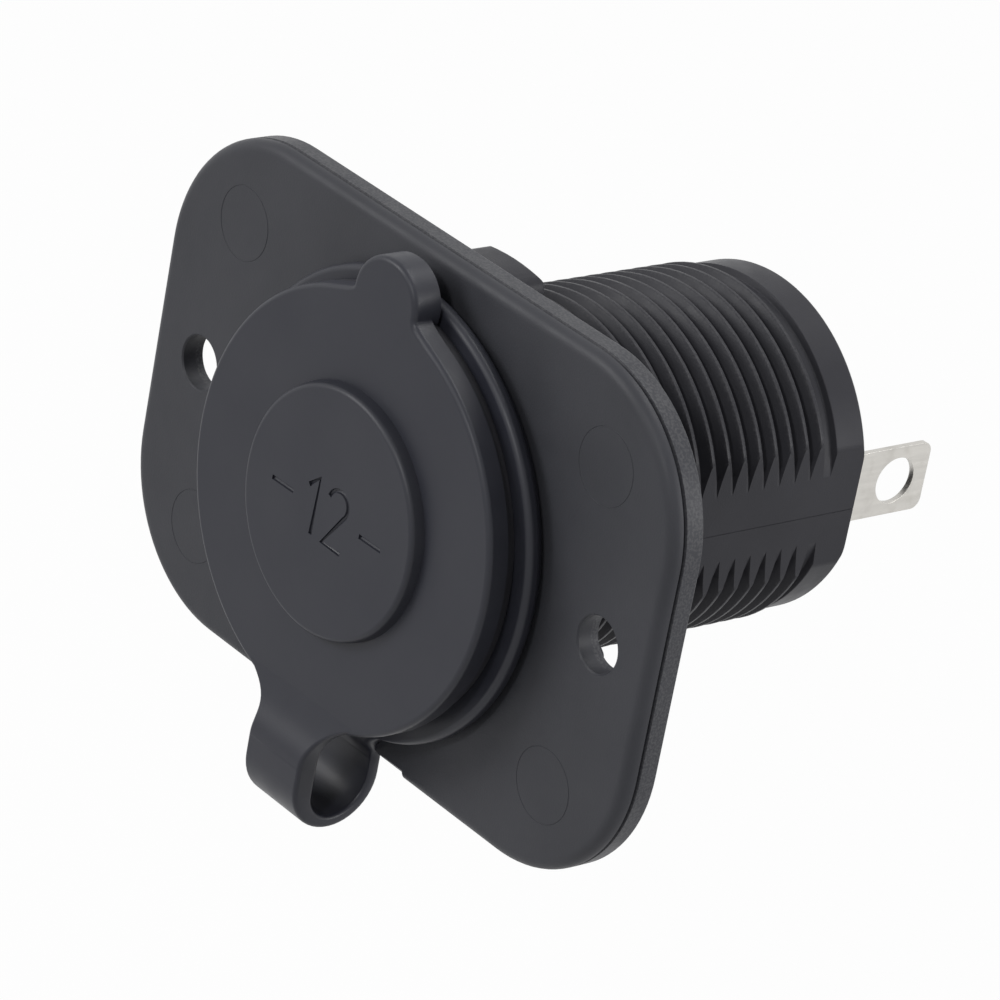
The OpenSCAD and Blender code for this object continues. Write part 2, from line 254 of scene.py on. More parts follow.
def smooth(piece: Piece, angle: float = 32.0) -> Piece:
    """Merge stray points of a piece and give it smooth, weighted shading.

    Args:
        piece: The object to finish.
        angle: The steepest edge, in degrees, that is still shaded smooth.

    Returns:
        The same object.
    """
    with editing(piece, whole=True):
        bpy.ops.mesh.remove_doubles(threshold=MERGE)
        bpy.ops.mesh.dissolve_degenerate(threshold=MERGE)
    bpy.ops.object.shade_smooth_by_angle(angle=math.radians(angle))
    apply(piece, "WEIGHTED_NORMAL", keep_sharp=True, weight=80)
    return piece


def rounded(corners: Sequence[Triple], closed: bool = False, steps: int = 6) -> list[Point]:
    """Round the corners of a line.

    Args:
        corners: The line's points, each with the radius of its rounding.
        closed: Whether the last point joins the first.
        steps: How many straight bits make one rounding.

    Returns:
        The points of the rounded line.
    """
    line: list[Point] = []
    for index, (across, along, radius) in enumerate(corners):
        here = Vector((across, along))
        if not radius or (not closed and index in (0, len(corners) - 1)):
            line.append((across, along))
            continue
        back = (Vector(corners[index - 1][:2]) - here).normalized()
        ahead = (Vector(corners[(index + 1) % len(corners)][:2]) - here).normalized()
        half = back.angle(ahead) / 2
        centre = here + (back + ahead).normalized() * (radius / math.sin(half))
        reach = radius / math.tan(half)
        start, stop = ((here + way * reach - centre).normalized() for way in (back, ahead))
        line += [tuple(centre + start.slerp(stop, step / steps) * radius)
                 for step in range(steps + 1)]
    return line


def bezier(start: Point, leave: Point, reach: Point, stop: Point, steps: int = 12) -> list[Point]:
    """Sample a cubic curve.

    Args:
        start: Its first point.
        leave: The handle of the first point.
        reach: The handle of the last point.
        stop: Its last point.
        steps: How many straight bits make the curve.

    Returns:
        The points along the curve.
    """
    points = []
    for step in range(steps + 1):
        t = step / steps
        shares = ((1 - t) ** 3, 3 * t * (1 - t) ** 2, 3 * t * t * (1 - t), t ** 3)
        points.append(tuple(sum(share * point[axis] for share, point in
                                zip(shares, (start, leave, reach, stop))) for axis in (0, 1)))
    return points


def draw(name: str, points: Sequence[Sequence[float]], closed: bool) -> Piece:
    """Draw a line of edges, point by point, by extruding one vertex.

    Args:
        name: The name of the object.
        points: The places of the points, in millimetres.
        closed: Whether the last point is joined to the first.

    Returns:
        The object that holds the line.
    """
    piece = primitive(bpy.ops.mesh.primitive_plane_add, name, size=MM)
    with editing(piece, whole=True):
        bpy.ops.mesh.merge(type="CENTER")
        last = Vector((0, 0, 0))
        for index, point in enumerate(points):
            step = {"value": (Vector(point) - last) * MM}
            if index:
                bpy.ops.mesh.extrude_region_move(TRANSFORM_OT_translate=step)
            else:
                move(step["value"])
            last = Vector(point)
        if closed:
            count = len(points)
            pick(piece, "verts", lambda vert: vert.index in (0, count - 1))
            bpy.ops.mesh.edge_face_add()
    return piece


def lathe(name: str, profile: Sequence[Point], closed: bool = False, steps: int = 128) -> Piece:
    """Turn a profile round the Y axis into a closed solid.

    Args:
        name: The name of the piece.
        profile: Its points, as radius and place along Y.
        closed: Whether the profile is a loop clear of the axis.
        steps: How many parts the turn has.

    Returns:
        The solid.
    """
    piece = draw(name, [(radius, along, 0) for radius, along in profile], closed)
    with editing(piece, whole=True):
        bpy.ops.mesh.spin(steps=steps, angle=math.tau, center=(0, 0, 0), axis=(0, 1, 0))
        bpy.ops.mesh.select_all(action="SELECT")
        bpy.ops.mesh.remove_doubles(threshold=MERGE)
        face_out()
    return piece


def slab(name: str, outline: Sequence[Point], low: float, high: float,
         front_round: float = 0.0, rear_round: float = 0.0) -> Piece:
    """Extrude an outline of the front view from one plane to another.

    Args:
        name: The name of the piece.
        outline: Its points, in X and Z.
        low: The plane of the front face.
        high: The plane of the rear face.
        front_round: The radius of the front face's edge.
        rear_round: The radius of the rear face's edge.

    Returns:
        The solid.
    """
    piece = draw(name, [(across, low, up) for across, up in outline], True)
    with editing(piece, "EDGE", whole=True):
        bpy.ops.mesh.edge_face_add()
        bpy.ops.mesh.extrude_region_move(
            TRANSFORM_OT_translate={"value": (0, (high - low) * MM, 0)})
        face_out()
        round_rim(piece, low, front_round)
        round_rim(piece, high, rear_round)
    return piece


def block(name: str, low: Sequence[float], high: Sequence[float]) -> Piece:
    """Add a box from its lowest to its highest corner.

    Args:
        name: The name of the piece.
        low: The lowest corner, in millimetres.
        high: The highest corner, in millimetres.

    Returns:
        The box.
    """
    low, high = Vector(low) * MM, Vector(high) * MM
    bpy.ops.object.select_all(action="DESELECT")
    bpy.ops.mesh.primitive_cube_add(size=1, location=(low + high) / 2)
    bpy.context.active_object.scale = high - low
    return named(name)


def slice_off(piece: Piece, place: Triple, way: Triple, keep: bool = False) -> None:
    """Cut a solid with a plane, and close it where a side is taken off.

    Args:
        piece: The solid.
        place: A point of the plane, in millimetres.
        way: The plane's normal, which points to the side that goes.
        keep: Whether both sides stay, so that the plane only leaves a loop of edges.
    """
    with editing(piece, whole=True):
        bpy.ops.mesh.bisect(plane_co=Vector(place) * MM, plane_no=way,
                            use_fill=not keep, clear_outer=not keep)


@dataclass(frozen=True)
class Station:
    """A cross-section of a strap, with its outer and inner side in Y and Z."""

    outer: Point
    inner: Point
    width: float


def ribbon(name: str, stations: Sequence[Station], edge: float) -> Piece:
    """Extrude a flat bar through its stations and round its long edges.

    Args:
        name: The name of the piece.
        stations: The cross-sections, in order.
        edge: The radius of the long edges.

    Returns:
        The closed bar.
    """
    piece = primitive(bpy.ops.mesh.primitive_plane_add, name, size=MM)
    last = Station((0.5, 0.0), (-0.5, 0.0), 1.0)
    with editing(piece, whole=True):
        for index, station in enumerate(stations):
            if index:
                pick(piece, "verts", lambda vert: vert.index // 4 == index - 1)
                bpy.ops.mesh.extrude_region_move(TRANSFORM_OT_translate={"value": (0, 0, 0)})
            for start, stop in ((last.outer, station.outer), (last.inner, station.inner)):
                pick(piece, "verts", lambda vert: vert.index // 4 == index
                     and abs(vert.co.y - start[0] * MM) + abs(vert.co.z - start[1] * MM) < MERGE)
                move((0, (stop[0] - start[0]) * MM, (stop[1] - start[1]) * MM))
            pick(piece, "verts", lambda vert: vert.index // 4 == index)
            bpy.ops.transform.resize(value=(station.width / last.width, 1, 1),
                                     center_override=(0, 0, 0))
            last = station
        face_out()
        bpy.ops.mesh.select_mode(type="EDGE")
        pick(piece, "edges", lambda side: side.verts[0].index // 4 != side.verts[1].index // 4)
        bpy.ops.mesh.bevel(offset=edge * MM, segments=4, clamp_overlap=False)
    return piece


# ---------------------------------------------------------------- finishes


class Graph:
    """The node graph of one material, built up around its principled shader."""

    def __init__(self, name: str) -> None:
        """Start the material.

        Args:
            name: The name of the material.
        """
        self.material = bpy.data.materials.new(name)
        self.material.use_nodes = True
        self.tree = self.material.node_tree
        self.shader = self.tree.nodes["Principled BSDF"]
        self.place = self.add("ShaderNodeTexCoord").outputs["Object"]

    def add(self, kind: str, **values: object) -> bpy.types.Node:
        """Add a node.

        Args:
            kind: The node's type.
            values: Properties of the node, or the values or links of its inputs.

        Returns:
            The node.
        """
        node = self.tree.nodes.new(kind)
        for key, value in values.items():
            socket = node.inputs.get(key.replace("_", " "))
            if hasattr(node, key) and socket is None:
                setattr(node, key, value)
            else:
                self.feed(socket or node.inputs[key], value)
        return node

    def paint(self, **inputs: object) -> bpy.types.Material:
        """Feed the shader and hand the material over.

        Args:
            inputs: Values or links of the shader's inputs, with _ for a space.

        Returns:
            The material.
        """
        for key, value in inputs.items():
            self.feed(self.shader.inputs[key.replace("_", " ")], value)
        return self.material

    def feed(self, socket: Socket, value: object) -> None:
        """Link a socket, or set its value.

        Args:
            socket: The input.
            value: An output to link, or a plain value.
        """
        if isinstance(value, Socket):
            self.tree.links.new(value, socket)
        else:
            socket.default_value = value

    def noise(self, grain: float, detail: float = 3.0, stretch: Triple = (1, 1, 1)) -> Socket:
        """Add a noise with spots of a size in millimetres, and give its value."""
        place = self.add("ShaderNodeMapping", Vector=self.place, Scale=stretch).outputs[0]
        return self.add("ShaderNodeTexNoise", Vector=place, Scale=1 / (grain * MM),
                        Detail=detail).outputs[0]

    def span(self, value: Socket, low: float, high: float, start: float = 0.3,
             stop: float = 0.7) -> Socket:
        """Map a value from start and stop to low and high."""
        return self.add("ShaderNodeMapRange", Value=value, From_Min=start, From_Max=stop,
                        To_Min=low, To_Max=high).outputs[0]

    def product(self, first: Socket, second: Socket) -> Socket:
        """Multiply two values.

        Args:
            first: One value.
            second: The other.

        Returns:
            Their product.
        """
        node = self.tree.nodes.new("ShaderNodeMath")
        node.operation = "MULTIPLY"
        self.feed(node.inputs[0], first)
        self.feed(node.inputs[1], second)
        return node.outputs[0]

    def blend(self, share: Socket, first: object, second: object) -> Socket:
        """Mix two colours by a share.

        Args:
            share: How much of the second colour there is.
            first: The first colour, as numbers or an output.
            second: The second colour, as numbers or an output.

        Returns:
            The mixed colour.
        """
        node = self.tree.nodes.new("ShaderNodeMix")
        node.data_type = "RGBA"
        for socket, value in zip((node.inputs[0], node.inputs[6], node.inputs[7]),
                                 (share, first, second)):
            plain = isinstance(value, tuple) and len(value) == 3
            self.feed(socket, (*value, 1) if plain else value)
        return node.outputs[2]

    def bump(self, height: Socket, depth: float, below: Socket | None = None) -> Socket:
        """Add relief from a height.

        Args:
            height: The height's value.
            depth: The height of the relief, in millimetres.
            below: The relief that it adds to.

        Returns:
            The normal.
        """
        node = self.add("ShaderNodeBump", Height=height, Distance=depth * MM)
        if below is not None:
            self.feed(node.inputs["Normal"], below)
        return node.outputs[0]


@dataclass(frozen=True)
class PaintedLightZone:
    """A zone of a moulded surface that is lightened in speckles: painted light.

    Attributes:
        colour: The colour of the lighter spots, which is painted light.
        grain: The size of the spots, in millimetres.
        zone: Where the zone starts and ends, in millimetres.
        radial: Whether the zone is told by the distance from the axis, and not along it.
        amount: How much of the zone is lightened at most.
        soft: Half the width of the zone's soft ends, in millimetres.
        spots: The range of the noise over which a spot fades in.
    """

    colour: Triple
    grain: float
    zone: Point
    radial: bool = False
    amount: float = 0.8
    soft: float = 0.05
    spots: Point = (0.42, 0.62)


@dataclass(frozen=True)
class Moulded:
    """A moulded black surface with a fine eroded grain and a slight bloom.

    Attributes:
        name: The name of the material.
        dark: Its darker colour.
        light: Its lighter colour, in soft large patches.
        roughness: The lowest and the highest roughness.
        grain: The size of the eroded grain, in millimetres.
        relief: The height of the grain, in millimetres.
        painted_light: A zone of painted light, lighter speckles, where there is one.
        gloss: The level of its mirror reflection.
        patch: The size of the patches of colour, in millimetres.
        wear: The size of the patches of roughness, in millimetres.
        ripple: The size and the height of its soft waves, in millimetres.
    """

    name: str
    dark: Triple
    light: Triple
    roughness: Point
    grain: float
    relief: float
    painted_light: PaintedLightZone | None = None
    gloss: float = 0.25
    patch: float = 9.0
    wear: float = 2.2
    ripple: Point = (6.0, 0.02)

    def material(self) -> bpy.types.Material:
        """Build the material.

        Returns:
            The material.
        """
        graph = Graph(self.name)
        patches, grain = graph.noise(self.patch), graph.noise(self.grain, 2.0)
        colour = graph.blend(graph.span(patches, 0, 1), self.dark, self.light)
        # Painted light: lighter speckles in one zone stand in for light falling on it.
        if self.painted_light:
            colour = self.paint_light_zone(graph, colour)
        ripple = graph.bump(graph.noise(self.ripple[0], 1.0), self.ripple[1])
        return graph.paint(Base_Color=colour, Specular_IOR_Level=self.gloss,
                           Roughness=graph.span(graph.noise(self.wear), *self.roughness),
                           Normal=graph.bump(grain, self.relief, ripple))

    def paint_light_zone(self, graph: Graph, colour: Socket) -> Socket:
        """Lighten the spots of the zone, as painted light.

        Args:
            graph: The graph of the material.
            colour: The colour of the rest.

        Returns:
            The colour of the whole.
        """
        painted_light = self.painted_light
        squeeze = (1, 0, 1) if painted_light.radial else (0, 1, 0)
        place = graph.add("ShaderNodeMapping", Vector=graph.place, Scale=squeeze).outputs[0]
        if painted_light.radial:
            value = graph.add("ShaderNodeVectorMath", operation="LENGTH", Vector=place)
            value = value.outputs["Value"]
        else:
            value = graph.add("ShaderNodeSeparateXYZ", Vector=place).outputs["Y"]
        start, stop = (edge * MM for edge in painted_light.zone)
        soft = painted_light.soft * MM
        inside = graph.product(graph.span(value, 0, 1, start - soft, start + soft),
                               graph.span(value, 1, 0, stop - soft, stop + soft))
        spots = graph.span(graph.noise(painted_light.grain, 2.0), 0, painted_light.amount,
                           *painted_light.spots)
        return graph.blend(graph.product(inside, spots), colour, painted_light.colour)


@dataclass(frozen=True)
class Rolled:
    """Rolled sheet metal with faint streaks along the axis of the socket.

    Attributes:
        name: The name of the material.
        colour: The metal's colour.
        tarnish: The colour of its duller spots.
        roughness: The lowest and the highest roughness.
        streak: The width of its streaks, in millimetres.
        squeeze: How much the noise is squeezed along them.
        spot: The size of the duller spots, in millimetres.
        relief: The height of the streaks, in millimetres.
    """

    name: str
    colour: Triple
    tarnish: Triple
    roughness: Point
    streak: float = 0.25
    squeeze: float = 0.06
    spot: float = 1.4
    relief: float = 0.004

    def material(self) -> bpy.types.Material:
        """Build the material.

        Returns:
            The material.
        """
        graph = Graph(self.name)
        streaks = graph.noise(self.streak, 4.0, (1, self.squeeze, 1))
        dull = graph.span(graph.noise(self.spot, 5.0), 0, 1, 0.5, 0.8)
        return graph.paint(Base_Color=graph.blend(dull, self.colour, self.tarnish),
                           Metallic=1.0, Roughness=graph.span(streaks, *self.roughness),
                           Normal=graph.bump(streaks, self.relief))


@dataclass(frozen=True)
class Fibre:
    """Hard paper board with flecks in it."""

    name: str = "fibre_board"
    colour: Triple = (0.22, 0.045, 0.02)
    fleck: Triple = (0.36, 0.10, 0.045)
    grain: float = 0.35
    relief: float = 0.02
    roughness: float = 0.7

    def material(self) -> bpy.types.Material:
        """Build the material.

        Returns:
            The material.
        """
        graph = Graph(self.name)
        flecks = graph.noise(self.grain, 5.0)
        share = graph.span(flecks, 0, 1, 0.45, 0.7)
        return graph.paint(Base_Color=graph.blend(share, self.colour, self.fleck),
                           Roughness=self.roughness, Normal=graph.bump(flecks, self.relief))


class Finishes:
    """The materials of the whole object, by slot."""

    def __init__(self) -> None:
        """Build each material once."""
        self.by_slot = {
            # Painted light: the plate's side wall is lightened in speckles, standing in for light
            # from above raking its rough grain.
            Slot.PLATE: Moulded("plate_plastic", (0.036, 0.037, 0.043), (0.044, 0.045, 0.052),
                                (0.42, 0.52), 0.16, 0.012,
                                PaintedLightZone((0.100, 0.100, 0.105), 0.20, (-1.7, -0.02),
                                        amount=0.5),
                                gloss=0.2),
            # Painted highlight: the thread crests are lightened in speckles, standing in for
            # light catching them.
            Slot.HOUSING: Moulded("housing_plastic", (0.030, 0.030, 0.035),
                                  (0.037, 0.037, 0.043), (0.34, 0.46), 0.14, 0.010,
                                  PaintedLightZone((0.060, 0.060, 0.065), 0.22, (14.2, 14.6), True,
                                          0.5), gloss=0.12),
            Slot.RUBBER: Moulded("cap_rubber", (0.019, 0.020, 0.028), (0.025, 0.026, 0.034),
                                 (0.38, 0.46), 0.10, 0.006, gloss=0.3),
            Slot.NICKEL: Rolled("nickel_plate", (0.60, 0.58, 0.54), (0.48, 0.46, 0.42),
                                (0.22, 0.36)),
            Slot.TERMINAL: Rolled("terminal_nickel", (0.55, 0.535, 0.505), (0.46, 0.445, 0.415),
                                  (0.32, 0.46)),
            Slot.BRASS: Rolled("contact_brass", (0.72, 0.50, 0.22), (0.50, 0.33, 0.14),
                               (0.24, 0.38)),
            Slot.FIBRE: Fibre(),
        }
        self.by_slot = {slot: finish.material() for slot, finish in self.by_slot.items()}

    def dress(self, piece: Piece, slot: Slot) -> None:
        """Give a piece or a solid of the frame the material of a slot."""
        piece.data.materials.clear()
        piece.data.materials.append(self.by_slot[slot])

    def fit(self, piece: Piece, slot: Slot, body: Body, *nodes: str) -> None:
        """Finish a piece: its material, its body and the solids it stands for.

        Args:
            piece: The object.
            slot: The slot whose material it takes.
            body: The body that carries it.
            nodes: The solids of the frame that it replaces.
        """
        self.dress(piece, slot)
        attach(piece, body.value)
        if nodes:
            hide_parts(*nodes)
        log.info("%s: %d faces, on %s", piece.name, len(piece.data.polygons), body.value)


# ---------------------------------------------------------------- the plate and the housing


@dataclass
class FacePlate:
    """The rounded face plate with its screw holes and moulding marks."""

    width: float = 62.0
    height: float = 41.77
    centre: Point = (-0.2, -0.135)
    front: float = -3.0
    corner: float = 12.4
    edge: float = 1.0
    rear_edge: float = 0.2
    margin: float = 0.4
    bore: float = 14.5
    flat: float = 13.3
    screw_x: float = 25.0
    screw_hole: float = 2.2
    screw_break: float = 0.12
    pocket: Point = (3.8, 1.0)
    relief: Point = (13.8, 0.5)
    relief_start: float = 0.85
    mark_radius: float = 3.0
    mark_place: Point = (22.3, 13.2)
    mark_groove: float = 0.05
    mark_lift: float = 0.012
    parting: float = -1.85
    parting_half: float = 0.11
    parting_depth: float = 0.25

    def body(self) -> Piece:
        """Shape the plate itself, with rounded corners and edges.

        Returns:
            The plate without its holes.
        """
        (across, up), half_w, half_h = self.centre, self.width / 2, self.height / 2
        plate = block("face_plate_shell", (across - half_w, self.front, up - half_h),
                      (across + half_w, 0, up + half_h))
        with editing(plate, "EDGE"):
            pick(plate, "edges", lambda edge: abs(edge.verts[0].co.y - edge.verts[1].co.y) > MM)
            bpy.ops.mesh.bevel(offset=self.corner * MM, segments=24, clamp_overlap=False)
            round_rim(plate, self.front, self.edge, 8)
            round_rim(plate, 0, self.rear_edge, 3)
            bpy.ops.mesh.select_mode(type="FACE")
            for plane in (self.front, 0):
                pick(plate, "faces", lambda face: len(face.verts) > 8
                     and abs(face.calc_center_median().y - plane * MM) < MERGE)
                bpy.ops.mesh.inset(thickness=self.margin * MM)
        return plate

    def part_line(self, plate: Piece) -> None:
        """Press the fine parting line into the side wall.

        Args:
            plate: The plate without its holes.
        """
        inner, outer = self.parting_half, 2 * self.parting_half
        for offset in (-outer, -inner, inner, outer):
            slice_off(plate, (0, self.parting + offset, 0), (0, 1, 0), keep=True)
        with editing(plate):
            pick(plate, "verts", lambda vert: abs(abs(vert.co.y - self.parting * MM)
                                                  - inner * MM) < MERGE)
            bpy.ops.transform.shrink_fatten(value=-self.parting_depth * MM)

    def build(self) -> Piece:
        """Model the plate.

        Returns:
            The finished piece.
        """
        plate = self.body()
        self.part_line(plate)
        bore = lathe("bore", [(0, self.front - 1), (self.bore, self.front - 1),
                              (self.bore, 1), (0, 1)])
        for side in (1, -1):
            slice_off(bore, (side * self.flat, 0, 0), (side, 0, 0))
        cut(plate, bore)
        wide = self.screw_hole + self.screw_break
        for side in (1, -1):
            hole = lathe("hole", [(0, self.front - 1), (wide, self.front - 1),
                                  (wide, self.front), (self.screw_hole, self.front
                                                       + self.screw_break),
                                  (self.screw_hole, -self.pocket[1]),
                                  (self.pocket[0], -self.pocket[1]),
                                  (self.pocket[0], 1), (0, 1)], steps=64)
            shift(hole, side * self.screw_x)
            cut(plate, hole)
        self.cut_relief(plate)
        for side in (1, -1):
            for level in (1, -1):
                cut(plate, primitive(
                    bpy.ops.mesh.primitive_torus_add, "mark",
                    location=(side * self.mark_place[0] * MM, (self.front - self.mark_lift) * MM,
                              level * self.mark_place[1] * MM),
                    rotation=(math.pi / 2, 0, 0), major_segments=72, minor_segments=8,
                    major_radius=self.mark_radius * MM, minor_radius=self.mark_groove * MM))
        return smooth(plate)

    def cut_relief(self, plate: Piece) -> None:
        """Cut the relief for the strap into the lower edge, with its sloping front.

        Args:
            plate: The plate.
        """
        wide, deep = self.relief
        top, middle = self.centre[1] + deep - self.height / 2, self.relief_start * self.front
        cutter = block("relief", (-wide / 2, self.front - 1, top - 3), (wide / 2, 1, top))
        slice_off(cutter, (0, middle, 0), (0, 1, 0), keep=True)
        with editing(cutter):
            pick(cutter, "verts", lambda vert: vert.co.y < (self.front - 0.5) * MM
                 and vert.co.z > (top - 1) * MM)
            move((0, 0, (middle - self.front + 1) * MM))
        cut(plate, cutter)


@dataclass
class Housing:
    """The threaded barrel with its flange, flats, bore and terminal slots.

    Attributes:
        sunk: How far the thread reaches into the barrel.
        flank: Where the thread's flank starts, inside the barrel and on it, as shares of
            the pitch from the middle of the crest.
        crest: The crest's rounding, as drops and shares of the pitch.
        turns: How many half turns the thread has.
        seam_z: The height of the parting seam on both flats.
    """

    thread: float = 14.4
    root: float = 13.5
    pitch: float = 1.62
    sunk: float = 0.35
    flank: Point = (0.47, 0.42)
    crest: tuple[Point, Point] = ((0.10, 0.13), (0.02, 0.08))
    first_crest: float = 1.13
    turns: int = 35
    collar_front: float = 30.3
    collar: float = 14.06
    rear: float = 33.4
    edge: float = 0.4
    flat: float = 13.2
    flange: float = 17.0
    flange_front: float = -5.9
    flange_rear: float = -4.9
    bore: float = 11.2
    floor: float = 30.9
    mouth: float = 12.4
    mouth_break: float = 0.35
    mouth_floor: float = -2.1
    rivet_room: Point = (2.5, 32.15)
    seam_z: float = -0.45
    seam_half: float = 0.04
    seam_depth: float = 0.04
    slot_half: float = 3.05
    slot_front: float = 28.0
    slots: tuple[Point, Point] = ((10.5, 11.2), (-5.1, -4.4))

    def barrel(self) -> Piece:
        """Turn the solid barrel and wind its thread round it.

        Returns:
            The barrel without its flats and hollows.
        """
        barrel = lathe("socket_housing_shell", rounded([
            (0, self.flange_front + 0.3, 0), (self.thread, self.flange_front + 0.3, 0),
            (self.thread, 0.05, 0.1), (self.root, 0.4, 0.2),
            (self.root, self.collar_front - 0.2, 0.15), (self.collar, self.collar_front, 0.1),
            (self.collar, self.rear, self.edge), (0, self.rear, 0)]), steps=144)
        pitch = self.pitch
        side = [(self.root - self.sunk, self.flank[0]), (self.root, self.flank[1])]
        side += [(self.thread - drop, share) for drop, share in self.crest]
        tooth = [(radius, -share) for radius, share in side] + [(self.thread, 0)] + side[::-1]
        thread = draw("thread", [(radius, self.first_crest + share * pitch, 0)
                                 for radius, share in tooth], True)
        apply(thread, "SCREW", axis="Y", angle=math.pi, screw_offset=pitch / 2 * MM,
              iterations=self.turns, steps=48, render_steps=48, use_merge_vertices=False,
              use_normal_calculate=True)
        middle = self.first_crest + self.turns * pitch / 4
        with editing(thread, "EDGE"):
            for test in (lambda y: y < middle * MM, lambda y: y > middle * MM):
                pick(thread, "edges", lambda edge: edge.is_boundary and test(edge.verts[0].co.y))
                bpy.ops.mesh.edge_face_add()
            face_out()
        combine(barrel, thread)
        return barrel

    def build(self) -> Piece:
        """Model the housing.

        Returns:
            The finished piece.
        """
        barrel = self.barrel()
        for low, high in ((self.flat, self.flange), (-self.flange, -self.flat)):
            cut(barrel, block("flat", (low, self.flange_front, -self.flange),
                              (high, self.rear + 1, self.flange)))
            seam = sorted((math.copysign(self.flat - self.seam_depth, low + high),
                           math.copysign(self.thread + 1, low + high)))
            cut(barrel, block("seam", (seam[0], 0.5, self.seam_z - self.seam_half),
                              (seam[1], self.rear + 1, self.seam_z + self.seam_half)))
        combine(barrel, lathe("flange", rounded([
            (0, self.flange_front, 0), (self.flange, self.flange_front, 0.35),
            (self.flange, self.flange_rear, 0.1), (0, self.flange_rear, 0)])))
        wide = self.mouth + self.mouth_break
        cut(barrel, lathe("hollow", [
            (0, self.flange_front - 1), (wide, self.flange_front - 1),
            (wide, self.flange_front), (self.mouth, self.flange_front + self.mouth_break),
            (self.mouth, self.mouth_floor), (self.bore, self.mouth_floor),
            (self.bore, self.floor), (self.rivet_room[0], self.floor),
            self.rivet_room, (0, self.rivet_room[1])]))
        for low, high in self.slots:
            cut(barrel, block("slot", (low, self.slot_front, -self.slot_half),
                              (high, self.rear + 1, self.slot_half)))
        return smooth(barrel, 28.0)


@dataclass
class RingNut:
    """The plastic nut that clamps the housing, with its grips."""

    length: float = 5.6
    radius: float = 16.7
    grip_radius: float = 19.1
    grip_width: float = 7.0
    grips: int = 6
    grip_round: float = 1.3
    foot_round: float = 0.5
    grip_edge: float = 1.2
    clear: float = 0.03
    bore: float = 14.45
    edge: float = 0.35

    def outline(self) -> list[Point]:
        """Draw the nut's outline with its grips.

        Returns:
            The points, in X and Z.
        """
        half = self.grip_width / 2
        foot, top = math.asin(half / self.radius), math.asin(half / self.grip_radius)
        corners = []
        for index in range(self.grips):
            middle, after = (math.tau * (index + more) / self.grips + math.pi / 2
                             for more in (0, 1))
            for radius, start, stop, turn, parts in (
                    (self.grip_radius, middle - top, middle + top, self.grip_round, 3),
                    (self.radius, middle + foot, after - foot, self.foot_round, 8)):
                for step in range(parts + 1):
                    angle = start + (stop - start) * step / parts
                    corners.append((radius * math.cos(angle), radius * math.sin(angle),
                                    turn if step in (0, parts) else 0))
        return rounded(corners, closed=True, steps=4)

    def build(self) -> Piece:
        """Model the nut.

        Returns:
            The finished piece.
        """
        nut = slab("ring_nut_shell", self.outline(), 0, self.length, self.edge, self.edge)
        wide = self.bore + self.edge
        out, end = self.grip_radius + self.clear, self.length + self.clear
        combine(nut, lathe("nut_limit", rounded([
            (0, -1, 0), (out, -1, 0), (out, end, self.grip_edge), (0, end, 0)], steps=8)),
            Way.SHARE)
        cut(nut, lathe("nut_bore", [(0, -1), (self.bore, -1),
                                    (self.bore, self.length - self.edge), (wide, self.length),
                                    (wide, self.length + 1), (0, self.length + 1)]))
        return smooth(nut)


# ---------------------------------------------------------------- the rubber parts


def at_height(curve: Sequence[Point], level: float) -> float:
    """Read a curve of (value, height) points at a height.

    Args:
        curve: The points, in order of height either way.
        level: The height.

    Returns:
        The value there, or that of the nearest end.
    """
    points = sorted(curve, key=lambda point: point[1])
    if level <= points[0][1]:
        return points[0][0]
    for (low_value, low), (high_value, high) in zip(points, points[1:]):
        if low <= level <= high and high > low:
            return low_value + (high_value - low_value) * (level - low) / (high - low)
    return points[-1][0]


